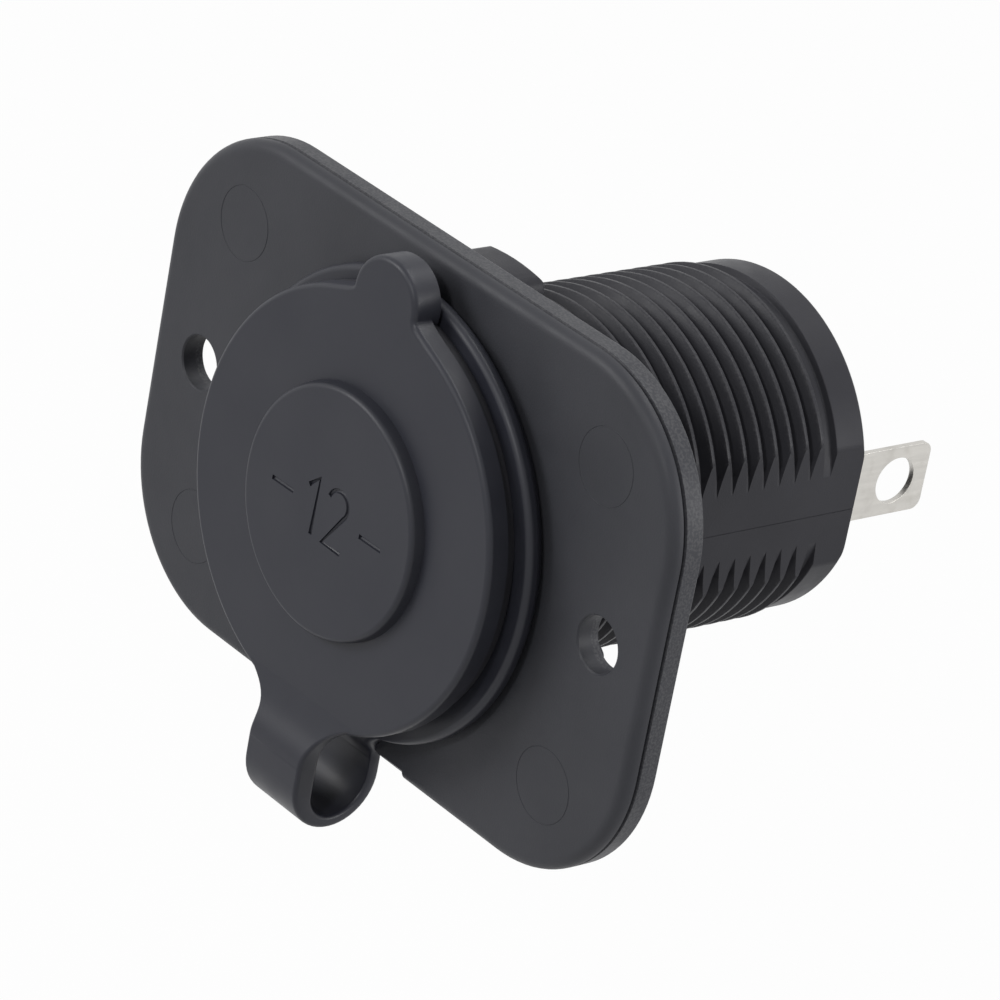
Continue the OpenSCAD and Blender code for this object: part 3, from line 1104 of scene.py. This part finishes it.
@dataclass
class StrapShape:
    """The side view and the front view of the strap, which three pieces share.

    Attributes:
        step: The first step above a seam, where the later ones start, and their size.
    """

    width: float = 6.6
    front: float = -10.2
    front_inner: float = -8.3
    rear: float = -2.0
    rear_inner: float = -3.0
    fold_y: float = -6.1
    fold_radius: float = 4.1
    fold_centre: float = -22.3
    fold_bottom: float = -25.4
    flare: float = 3.4
    flare_length: float = 2.6
    edge: float = 0.35
    front_seam: float = -20.6
    rear_seam: float = -21.0
    step: Triple = (0.15, 0.5, 0.35)

    def half_width(self, level: float, radius: float) -> float:
        """Give half the strap's width at a height, below a disc.

        Args:
            level: The height.
            radius: The disc's radius.

        Returns:
            Half the width there.
        """
        half, wide = self.width / 2, self.width / 2 + self.flare
        curve = bezier((half, -radius - self.flare_length), (half, -radius - 0.6),
                       (half + self.flare_length / 2, 0.6 - radius),
                       (wide, 0.4 - math.sqrt(radius ** 2 - wide ** 2)), 24)
        return at_height(curve, level)

    def fold(self) -> list[Station]:
        """Give the stations of the fold, from the front seam to the rear seam.

        Returns:
            The stations.
        """
        levels = (self.front_seam, self.front_seam - self.step[0], self.front_seam - 0.8)
        stations = [Station((self.front, z), (self.front_inner, z), self.width) for z in levels]
        steps = 24
        for step in range(steps + 1):
            angle = math.pi * (1 + step / steps)
            inner_y = self.front_inner if step < steps // 2 else self.rear_inner
            inner_r = abs(inner_y - self.fold_y)
            stations.append(Station(
                (self.fold_y + self.fold_radius * math.cos(angle),
                 self.fold_centre + self.fold_radius * math.sin(angle)),
                (self.fold_y + inner_r * math.cos(angle),
                 self.fold_bottom + inner_r * (1 + math.sin(angle))), self.width))
        levels = (self.rear_seam - 0.6, self.rear_seam - self.step[0], self.rear_seam)
        return stations + [Station((self.rear, z), (self.rear_inner, z), self.width)
                           for z in levels]

    def leg(self, name: str, sides: Sequence[Sequence[Point]], seam: float, count: int,
            radius: float) -> Piece:
        """Shape a leg of the strap, which widens into a disc.

        Args:
            name: The name of the piece.
            sides: The curves of its outer and its inner side, in Y and Z.
            seam: The height of its seam with the fold.
            count: How many cross-sections follow above the seam.
            radius: The disc's radius.

        Returns:
            The bar.
        """
        first, start, later = self.step
        levels = [seam, seam + first] + [seam + start + later * step for step in range(count)]
        return ribbon(name, [
            Station(*((at_height(side, z), z) for side in sides),
                    2 * self.half_width(z, radius)) for z in levels], self.edge)

    def bend(self) -> Piece:
        """Model the fold of the strap."""
        return smooth(ribbon("strap_fold", self.fold(), self.edge), 50.0)


def settle(piece: Piece, seam: float, reach: float, slip: Sequence[float],
           lean: Point = (0, 0)) -> None:
    """Let a rubber piece sit slightly off its place, with its strap's seam unmoved.

    Args:
        piece: The piece.
        seam: The height of the seam.
        reach: How far above the seam the piece is fully off its place.
        slip: How far it moves.
        lean: How far it leans back for each millimetre across and up.
    """
    for vertex in piece.data.vertices:
        across, _, up = vertex.co / MM
        share = min(max((up - seam) / reach, 0), 1)
        share *= share * (3 - 2 * share)
        tip = lean[0] * across + lean[1] * up
        vertex.co += (Vector(slip) + Vector((0, tip, 0))) * MM * share


@dataclass
class DustCap:
    """The rubber cap with its raised centre, plug, finger tab and front strap leg."""

    shape: StrapShape
    radius: float = 17.3
    front: float = -7.8
    rear: float = -6.0
    edge: float = 0.45
    centre: float = 10.1
    centre_top: float = -8.9
    stroke: float = 0.2
    plug: float = 12.0
    plug_wall: float = 1.1
    plug_end: float = -3.1
    tab_half: float = 3.6
    tab_top: float = 20.9
    tab_corner: float = 3.4
    tab_rear: float = -5.3
    tab_fillet: float = 2.2
    tab_shift: float = 0.4
    tab_foot: float = 1.2
    slip: Triple = (0.3, -0.5, -0.1)
    lean: Point = (0.0235, 0.0263)
    settle: float = 4.6

    def tab_side(self) -> list[Point]:
        """Draw the right side of the tab, from its top down to the disc.

        Returns:
            The points, in X and Z.
        """
        half, wide = self.tab_half, self.tab_half + self.tab_fillet
        root = math.sqrt(self.radius ** 2 - wide ** 2)
        corner = [(half - self.tab_corner * (1 - math.sin(angle)),
                   self.tab_top - self.tab_corner * (1 - math.cos(angle)))
                  for angle in (math.radians(9 * step) for step in range(10))]
        return corner + bezier((half, self.tab_top - self.tab_corner),
                               (half, root + 0.8), (half + 0.45, root + 0.7),
                               (wide, root), 10)

    def tab_move(self, tab: Piece) -> None:
        """Shift the tab sideways, with its foot drawn along.

        Args:
            tab: The piece that holds the tab.
        """
        foot = self.radius - self.tab_foot
        for vertex in tab.data.vertices:
            share = min(max(vertex.co.z / MM - foot, 0), 1)
            vertex.co.x += self.tab_shift * MM * share

    def disc(self) -> Piece:
        """Shape the disc and its tab from one outline.

        Returns:
            The disc.
        """
        side = self.tab_side()
        first = math.atan2(side[-1][1], side[-1][0])
        turn = 2 * (math.pi / 2 + first)
        steps = 110
        angles = [first - turn * step / steps for step in range(1, steps)]
        bottom = [(self.radius * math.cos(angle), self.radius * math.sin(angle))
                  for angle in angles]
        outline = side + bottom + [(-x, z) for x, z in reversed(side)]
        return slab("dust_cap_shell", outline, self.front, self.rear, self.edge)

    def tab_back(self) -> Piece:
        """Shape the thicker part of the tab, behind the disc.

        Returns:
            The solid.
        """
        side = [(x, z) for x, z in self.tab_side() if x <= self.tab_half]
        side.append((self.tab_half, self.radius - 2))
        outline = side + [(-x, z) for x, z in reversed(side)]
        back = slab("tab_back", outline, self.rear - 0.9, self.tab_rear)
        reach = self.radius + 0.02
        cut(back, lathe("tab_room", [(0, self.rear), (reach - 0.5, self.rear),
                                     (reach, self.tab_rear), (reach, 0), (0, 0)]))
        return back

    def leg(self) -> Piece:
        """Shape the strap's front leg, from the disc's face to the seam.

        Returns:
            The bar.
        """
        shape = self.shape
        # Each curve leaves the fold upright and runs into the disc's face or back.
        seam, foot = shape.front_seam, -self.radius
        front = bezier((shape.front, seam), (shape.front, seam + 1.9),
                       (self.front, foot - 0.8), (self.front + 0.03, foot + 2.4), 24)
        back = bezier((shape.front_inner, seam), (shape.front_inner, seam + 1.2),
                      (-7.6, foot - 0.5), (self.rear - 0.05, foot + 0.9), 24)
        return shape.leg("front_leg", (front, back), seam, 16, self.radius)

    def strokes(self) -> list[list[Point]]:
        """Draw the engraved number as strokes, in X and Z.

        Returns:
            The lines of points.
        """
        bow, half = 1.15, 2.35
        two = [(bow * math.cos(math.radians(angle)) + bow,
                bow * math.sin(math.radians(angle)) + 3.55 - half)
               for angle in range(165, -46, -15)]
        two += [(0.05, -half), (2.3, -half)]
        one = [(-2.4, 1.35), (-1.3, half), (-1.3, -half)]
        return [one, two, [(-6.6, 0), (-4.0, 0)], [(4.0, 0), (6.6, 0)]]

    def engrave(self, cap: Piece) -> None:
        """Cut the number into the raised centre.

        Args:
            cap: The cap.
        """
        for line in self.strokes():
            curve = bpy.data.curves.new("stroke", "CURVE")
            curve.dimensions = "3D"
            curve.bevel_depth, curve.bevel_resolution = self.stroke * MM, 2
            curve.use_fill_caps = True
            spline = curve.splines.new("POLY")
            spline.points.add(len(line) - 1)
            for point, (x, z) in zip(spline.points, line):
                point.co = (x * MM, (self.centre_top + self.stroke / 10) * MM, z * MM, 1)
            stroke = bpy.data.objects.new("stroke", curve)
            bpy.context.collection.objects.link(stroke)
            take(stroke)
            bpy.ops.object.convert(target="MESH")
            cut(cap, named("stroke"))

    def build(self) -> Piece:
        """Model the cap.

        Returns:
            The finished piece.
        """
        cap = self.disc()
        combine(cap, self.tab_back())
        combine(cap, self.leg())
        combine(cap, lathe("centre", rounded([
            (0, self.centre_top, 0), (self.centre - 0.25, self.centre_top, 0.45),
            (self.centre, self.front + 0.3, 0), (0, self.front + 0.3, 0)])))
        combine(cap, lathe("plug", rounded([
            (self.plug - self.plug_wall, self.rear - 0.4, 0), (self.plug, self.rear - 0.4, 0),
            (self.plug, self.plug_end, 0.5), (self.plug - self.plug_wall, self.plug_end, 0.3)],
            closed=True), closed=True))
        self.engrave(cap)
        self.tab_move(cap)
        settle(cap, self.shape.front_seam, self.settle, self.slip, self.lean)
        return smooth(cap)


@dataclass
class StrapRing:
    """The rubber ring under the flange, with the strap's rear leg."""

    shape: StrapShape
    radius: float = 18.45
    bore: float = 14.5
    front: float = -4.9
    rear: float = -3.0
    bead: float = 1.15
    undercut: float = 0.8
    slip: Triple = (0.25, 0, -0.2)
    settle: float = 5.0

    def build(self) -> Piece:
        """Model the ring.

        Returns:
            The finished piece.
        """
        bead = self.front + self.bead
        ring = lathe("strap_ring_shell", rounded([
            (self.bore, self.front, 0.1), (self.radius, self.front, 0.55),
            (self.radius, bead, 0.3), (self.radius - self.undercut, bead, 0.05),
            (self.radius - self.undercut, self.rear, 0.05), (self.bore, self.rear, 0.1)],
            closed=True, steps=8), closed=True, steps=144)
        # Each curve leaves the fold upright and runs into the ring's rear or front face.
        shape, seam = self.shape, self.shape.rear_seam
        outer = bezier((shape.rear, seam), (shape.rear, seam + 1.2),
                       (self.rear, -20.2), (self.rear - 0.05, -18.4), 16)
        inner = bezier((shape.rear_inner, seam), (shape.rear_inner, seam + 1.2),
                       (-4.3, -19.6), (self.front + 0.05, -18.2), 16)
        combine(ring, shape.leg("rear_leg", (outer, inner), seam, 12, self.radius))
        settle(ring, seam, self.settle, self.slip)
        return smooth(ring)


# ---------------------------------------------------------------- the contacts


@dataclass
class Contacts:
    """The metal and fibre parts inside the housing."""

    lip: float = -2.7
    lip_radius: float = 12.3
    inner: float = 10.5
    outer: float = 11.1
    wall: float = 0.6
    base_front: float = 24.8
    base: float = 9.6
    rear: float = 29.3
    bush: float = 2.7
    window: Point = (8.0, 12.0)
    tongue_half: float = 2.3
    tongue_length: float = 12.0
    tongue_gap: float = 0.8
    tongue_dip: float = 0.2
    tongue_thick: float = 0.48
    rivet: float = 1.5
    rivet_end: float = 30.8
    head: float = 2.4
    dome: float = 0.83
    disc_front: float = 27.7
    fibre: float = 6.0
    crown: float = 26.5
    contact: float = 4.4
    earth_x: float = 8.1
    earth_ends: Point = (28.3, 30.2)
    earth_head: float = 1.3
    earth_shank: float = 0.8
    earth_flat: float = 0.4

    def shell(self) -> Piece:
        """Model the contact shell with its two spring tongues.

        Returns:
            The finished piece.
        """
        shell = lathe("contact_shell_skin", rounded([
            (self.inner, self.lip, 0.25), (self.lip_radius, self.lip, 0.15),
            (self.lip_radius, self.lip + self.wall, 0.1), (self.outer, self.lip + self.wall, 0.1),
            (self.outer, self.base_front + self.wall, 0.3),
            (self.base + self.wall, self.base_front + self.wall, 0.1),
            (self.base + self.wall, self.rear, 0.4), (self.bush, self.rear, 0),
            (self.bush, self.rear - self.wall, 0), (self.base, self.rear - self.wall, 0.2),
            (self.base, self.base_front, 0.2), (self.inner, self.base_front, 0.1)],
            closed=True, steps=3), closed=True)
        middle = (self.lip + self.base_front) / 2
        front, wide = middle - self.tongue_length / 2, self.tongue_half + self.tongue_gap
        slope = math.atan(self.tongue_dip / self.tongue_length)
        for side in (1, -1):
            low, high = sorted(side * reach for reach in self.window)
            cut(shell, block("window", (-wide, front, low),
                             (wide, front + self.tongue_length + self.tongue_gap, high)))
            low, high = sorted((side * self.inner, side * (self.inner + self.tongue_thick)))
            tongue = block("tongue", (-self.tongue_half, front - self.wall, low),
                           (self.tongue_half, front + self.tongue_length, high))
            with editing(tongue):
                pick(tongue, "verts", lambda vert: vert.co.y > middle * MM)
                move((0, 0, -side * math.tan(slope) * self.tongue_length * MM))
            combine(shell, tongue)
        return smooth(shell)

    def turned(self) -> list[tuple[Piece, Slot, str]]:
        """Model the round parts at the bottom of the socket.

        Returns:
            Each piece with its slot and the solid that it replaces.
        """
        crown, hole, head = self.crown, self.rivet + 0.1, self.head
        end, dome = self.rivet_end, self.dome
        disc = lathe("insulating_disc_skin", rounded([
            (hole, self.disc_front, 0), (self.fibre, self.disc_front, 0.2),
            (self.fibre, self.disc_front + 1, 0.2), (self.bush - 0.1, self.disc_front + 1, 0),
            (self.bush - 0.1, self.rear, 0), (hole, self.rear, 0)], closed=True, steps=3),
            closed=True)
        contact = lathe("centre_contact_skin", rounded([
            (hole, crown, 0), (head + 0.25, crown, 0.3), (self.contact, self.disc_front - 0.5,
                                                          0.2),
            (self.contact, self.disc_front, 0), (self.contact - 0.5, self.disc_front, 0),
            (head, crown + 0.5, 0.2), (hole, crown + 0.5, 0)], closed=True, steps=4),
            closed=True)
        rivet = lathe("centre_rivet_skin", rounded([
            (0, crown - dome, 0), (head - 0.2, crown - dome, 0.6), (head, crown, 0.1),
            (self.rivet, crown, 0), (self.rivet, end, 0), (head, end, 0.1),
            (head - 0.2, end + dome, 0.5), (0, end + dome, 0)]), steps=64)
        front, rear = self.earth_ends
        wide, shank, flat = self.earth_head, self.earth_shank, self.earth_flat
        earth = lathe("earth_rivet_skin", rounded([
            (0, front, 0), (wide - 0.15, front, 0.3), (wide, front + flat, 0),
            (shank, front + flat, 0), (shank, rear - flat, 0), (wide, rear - flat, 0),
            (wide - 0.15, rear, 0.3), (0, rear, 0)]), steps=48)
        shift(earth, self.earth_x)
        return [(smooth(disc), Slot.FIBRE, "insulating_disc"),
                (smooth(contact), Slot.BRASS, "centre_contact"),
                (smooth(rivet), Slot.NICKEL, "centre_rivet"),
                (smooth(earth), Slot.NICKEL, "earth_rivet")]


@dataclass
class Terminal:
    """A blade terminal with its hole, rounded corners and the foot that is riveted down.

    Attributes:
        name: The name of the piece.
        low: Its lower side along X.
        high: Its upper side along X.
        root: Where it starts along Y.
        foot: The ends of the foot along X, and the radius of the foot's round part.
        rivet: The place and the radius of the rivet's hole.
    """

    name: str
    low: float
    high: float
    root: float
    foot: tuple[Point, float]
    rivet: Point
    tip: float = 43.1
    half: float = 2.95
    corner: float = 0.9
    hole: float = 2.0
    hole_y: float = 39.7
    edge: float = 0.06

    def build(self) -> Piece:
        """Model the terminal.

        Returns:
            The finished piece.
        """
        blade = block(self.name, (self.low, self.root, -self.half),
                      (self.high, self.tip, self.half))
        with editing(blade, "EDGE"):
            pick(blade, "edges", lambda edge: all(abs(v.co.y - self.tip * MM) < MERGE
                                                  for v in edge.verts)
                 and abs(edge.verts[0].co.x - edge.verts[1].co.x) > MERGE)
            bpy.ops.mesh.bevel(offset=self.corner * MM, segments=8, clamp_overlap=False)
        (start, stop), foot_radius = self.foot
        thick = self.high - self.low
        if foot_radius > self.half:
            combine(blade, lathe("foot", [
                (0, self.root), (foot_radius, self.root), (foot_radius, self.root + thick),
                (0, self.root + thick)], steps=100))
        combine(blade, block("foot", (start, self.root, -self.half),
                             (stop, self.root + thick, self.half)))
        bore_x, bore_radius = self.rivet
        for name, sides, radius, across, along, turn in (
                ("foot_hole", 48, bore_radius, bore_x, self.root, (math.pi / 2, 0, 0)),
                ("hole", 64, self.hole, (self.low + self.high) / 2, self.hole_y,
                 (0, math.pi / 2, 0))):
            cut(blade, primitive(
                bpy.ops.mesh.primitive_cylinder_add, name, vertices=sides, radius=radius * MM,
                depth=4 * MM, location=(across * MM, along * MM, 0), rotation=turn))
        apply(blade, "BEVEL", width=self.edge * MM, segments=2, limit_method="ANGLE",
              angle_limit=math.radians(40), use_clamp_overlap=True)
        return smooth(blade)


# ---------------------------------------------------------------- studio


@dataclass
class Studio:
    """The camera of the photograph, a pale floor and soft lamps.

    Attributes:
        azimuth: How far to the right of the front the camera stands, in degrees.
        elevation: How high it stands, in degrees.
        roll: How far it is turned about its view, in degrees.
        distance: How far it stands from the origin, in millimetres.
        focal: Its focal length on the sensor.
        sensor: The sensor's width.
        clip: The nearest and the farthest that it sees, in metres.
        aim: How far the origin lies off the middle of the view.
        middle: What the lamps face, in metres.
        floor_size: The floor's width, in metres.
        floor_grey: The floor's own tone.
        floor_z: The floor's height, which leaves room for the open cap.
        ambient: How strongly the world lights the object.
        shade: How much of the floor's own tone the camera sees.
    """

    azimuth: float = 46.7
    elevation: float = 24.7
    roll: float = -10.85
    distance: float = 420.1
    focal: float = 198.36
    sensor: float = 36.0
    clip: Point = (0.01, 10.0)
    aim: Point = (-6.03, 0.56)
    middle: Triple = (0, 0.012, 0)
    floor_size: float = 6.0
    floor_grey: float = 0.5
    floor_z: float = -70.0
    ambient: float = 0.2
    shade: float = 0.03

    def camera(self) -> None:
        """Place the camera."""
        turn, tilt, roll = (math.radians(a) for a in (self.azimuth, self.elevation, self.roll))
        right = Vector((math.cos(turn), math.sin(turn), 0))
        back = Vector((math.sin(turn) * math.cos(tilt), -math.cos(turn) * math.cos(tilt),
                       math.sin(tilt)))
        view = Matrix((right, back.cross(right), back))
        view = Matrix.Rotation(roll, 3, "Z") @ view
        place = view.transposed() @ Vector((-self.aim[0], -self.aim[1], self.distance)) * MM
        data = bpy.data.cameras.new("camera")
        data.lens, data.sensor_width = self.focal, self.sensor
        data.clip_start, data.clip_end = self.clip
        camera = bpy.data.objects.new("camera", data)
        camera.matrix_world = Matrix.Translation(place) @ view.transposed().to_4x4()
        bpy.context.collection.objects.link(camera)
        bpy.context.scene.camera = camera

    def lamp(self, name: str, place: Sequence[float], size: Point, power: float) -> None:
        """Hang a soft rectangular lamp that faces the object.

        Args:
            name: The name of the lamp.
            place: Where it hangs, in metres.
            size: Its width and height, in metres.
            power: Its power, in watts.
        """
        data = bpy.data.lights.new(name, "AREA")
        data.shape, data.size, data.size_y, data.energy = "RECTANGLE", *size, power
        lamp = bpy.data.objects.new(name, data)
        lamp.location = place
        aim = Vector(self.middle) - lamp.location
        lamp.rotation_euler = aim.to_track_quat("-Z", "Y").to_euler()
        bpy.context.collection.objects.link(lamp)

    def white(self, name: str, shade: float) -> bpy.types.Material:
        """Make a pale surface that the camera sees as white, with a faint shadow.

        Args:
            name: The name of the material.
            shade: How much of the plain diffuse surface the camera sees.

        Returns:
            The material.
        """
        material = bpy.data.materials.new(name)
        material.use_nodes = True
        tree = material.node_tree
        tree.nodes.clear()
        diffuse, glow, out, limit = (tree.nodes.new(kind) for kind in (
            "ShaderNodeBsdfDiffuse", "ShaderNodeEmission", "ShaderNodeOutputMaterial",
            "ShaderNodeMath"))
        diffuse.inputs["Color"].default_value = (*[self.floor_grey] * 3, 1)
        limit.operation = "MULTIPLY"
        limit.inputs[1].default_value = 1 - shade
        tree.links.new(self.seen(tree), limit.inputs[0])
        self.mix(tree, limit.outputs[0], diffuse, glow, out)
        return material

    def mix(self, tree: bpy.types.NodeTree, share: Socket, plain: bpy.types.Node,
            white: bpy.types.Node, out: bpy.types.Node) -> None:
        """Mix what lights the object with the white that is seen.

        Args:
            tree: The node tree.
            share: How much of the white there is.
            plain: The shader that lights the object.
            white: The shader that is seen.
            out: The output node.
        """
        mix = tree.nodes.new("ShaderNodeMixShader")
        for source, target in ((share, mix.inputs[0]), (plain.outputs[0], mix.inputs[1]),
                               (white.outputs[0], mix.inputs[2]),
                               (mix.outputs[0], out.inputs["Surface"])):
            tree.links.new(source, target)

    def floor(self) -> None:
        """Lay the pale floor."""
        floor = primitive(bpy.ops.mesh.primitive_plane_add, "floor", size=self.floor_size,
                          location=(0, 0, self.floor_z * MM))
        floor.data.materials.append(self.white("floor_white", self.shade))

    def sky(self) -> None:
        """Light the world softly, and let the camera see it white."""
        world = bpy.data.worlds.new("studio")
        bpy.context.scene.world = world
        world.use_nodes = True
        tree = world.node_tree
        ambient, white = tree.nodes["Background"], tree.nodes.new("ShaderNodeBackground")
        for node, strength in ((ambient, self.ambient), (white, 1.0)):
            node.inputs["Color"].default_value = (1, 1, 1, 1)
            node.inputs["Strength"].default_value = strength
        self.mix(tree, self.seen(tree), ambient, white, tree.nodes["World Output"])

    def seen(self, tree: bpy.types.NodeTree) -> Socket:
        """Tell the rays that see the white: of the camera, of gloss and through glass.

        Args:
            tree: The node tree.

        Returns:
            1 for such a ray, else 0.
        """
        path = tree.nodes.new("ShaderNodeLightPath")
        total = path.outputs["Is Camera Ray"]
        for kind in ("Is Glossy Ray", "Is Transmission Ray"):
            node = tree.nodes.new("ShaderNodeMath")
            node.operation = "MAXIMUM"
            tree.links.new(total, node.inputs[0])
            tree.links.new(path.outputs[kind], node.inputs[1])
            total = node.outputs[0]
        return total

    def build(self) -> None:
        """Set up the whole studio."""
        self.camera()
        self.floor()
        self.sky()
        for name, place, size, power in (
                ("key", (-0.45, -0.65, 0.45), (0.4, 0.4), 4.2),
                ("front", (0.30, -0.75, 0.55), (0.12, 0.12), 2.2),
                ("top", (0.10, 0.30, 0.80), (0.5, 0.4), 3.0),
                ("side", (0.75, 0.45, 0.20), (0.3, 0.4), 3.6)):
            self.lamp(name, place, size, power)
        bpy.context.scene.view_settings.view_transform = "Standard"


def main() -> None:
    """Build, dress and report every piece, then set up the studio."""
    logging.basicConfig(level=logging.INFO, format="%(name)s: %(message)s")
    finishes, shape, contacts = Finishes(), StrapShape(), Contacts()
    for model, slot, body, node in (
            (FacePlate(), Slot.PLATE, Body.SOCKET, "face_plate"),
            (Housing(), Slot.HOUSING, Body.SOCKET, "socket_housing"),
            (RingNut(), Slot.HOUSING, Body.SOCKET, "ring_nut"),
            (StrapRing(shape), Slot.RUBBER, Body.SOCKET, "strap_ring"),
            (DustCap(shape), Slot.RUBBER, Body.CAP, "dust_cap")):
        finishes.fit(model.build(), slot, body, node)
    strap = shape.bend()
    finishes.dress(strap, Slot.RUBBER)
    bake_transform(strap)
    finishes.fit(contacts.shell(), Slot.NICKEL, Body.SOCKET, "contact_shell")
    for piece, slot, node in contacts.turned():
        finishes.fit(piece, slot, Body.SOCKET, node)
    for name, low, high, root, foot, rivet in (
            ("negative_terminal", 10.6, 11.1, 29.3, ((6.1, 10.9), 0.0), (8.1, 0.85)),
            ("positive_terminal", -5.0, -4.5, 30.3, ((-5.0, 0.35), 3.2), (0.0, 1.55))):
        blade = Terminal(f"{name}_skin", low, high, root, foot, rivet)
        finishes.fit(blade.build(), Slot.TERMINAL, Body.SOCKET, name)
    finishes.dress(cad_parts["insulating_washer"], Slot.FIBRE)
    Studio().build()


if __name__ == "__main__":
    main()
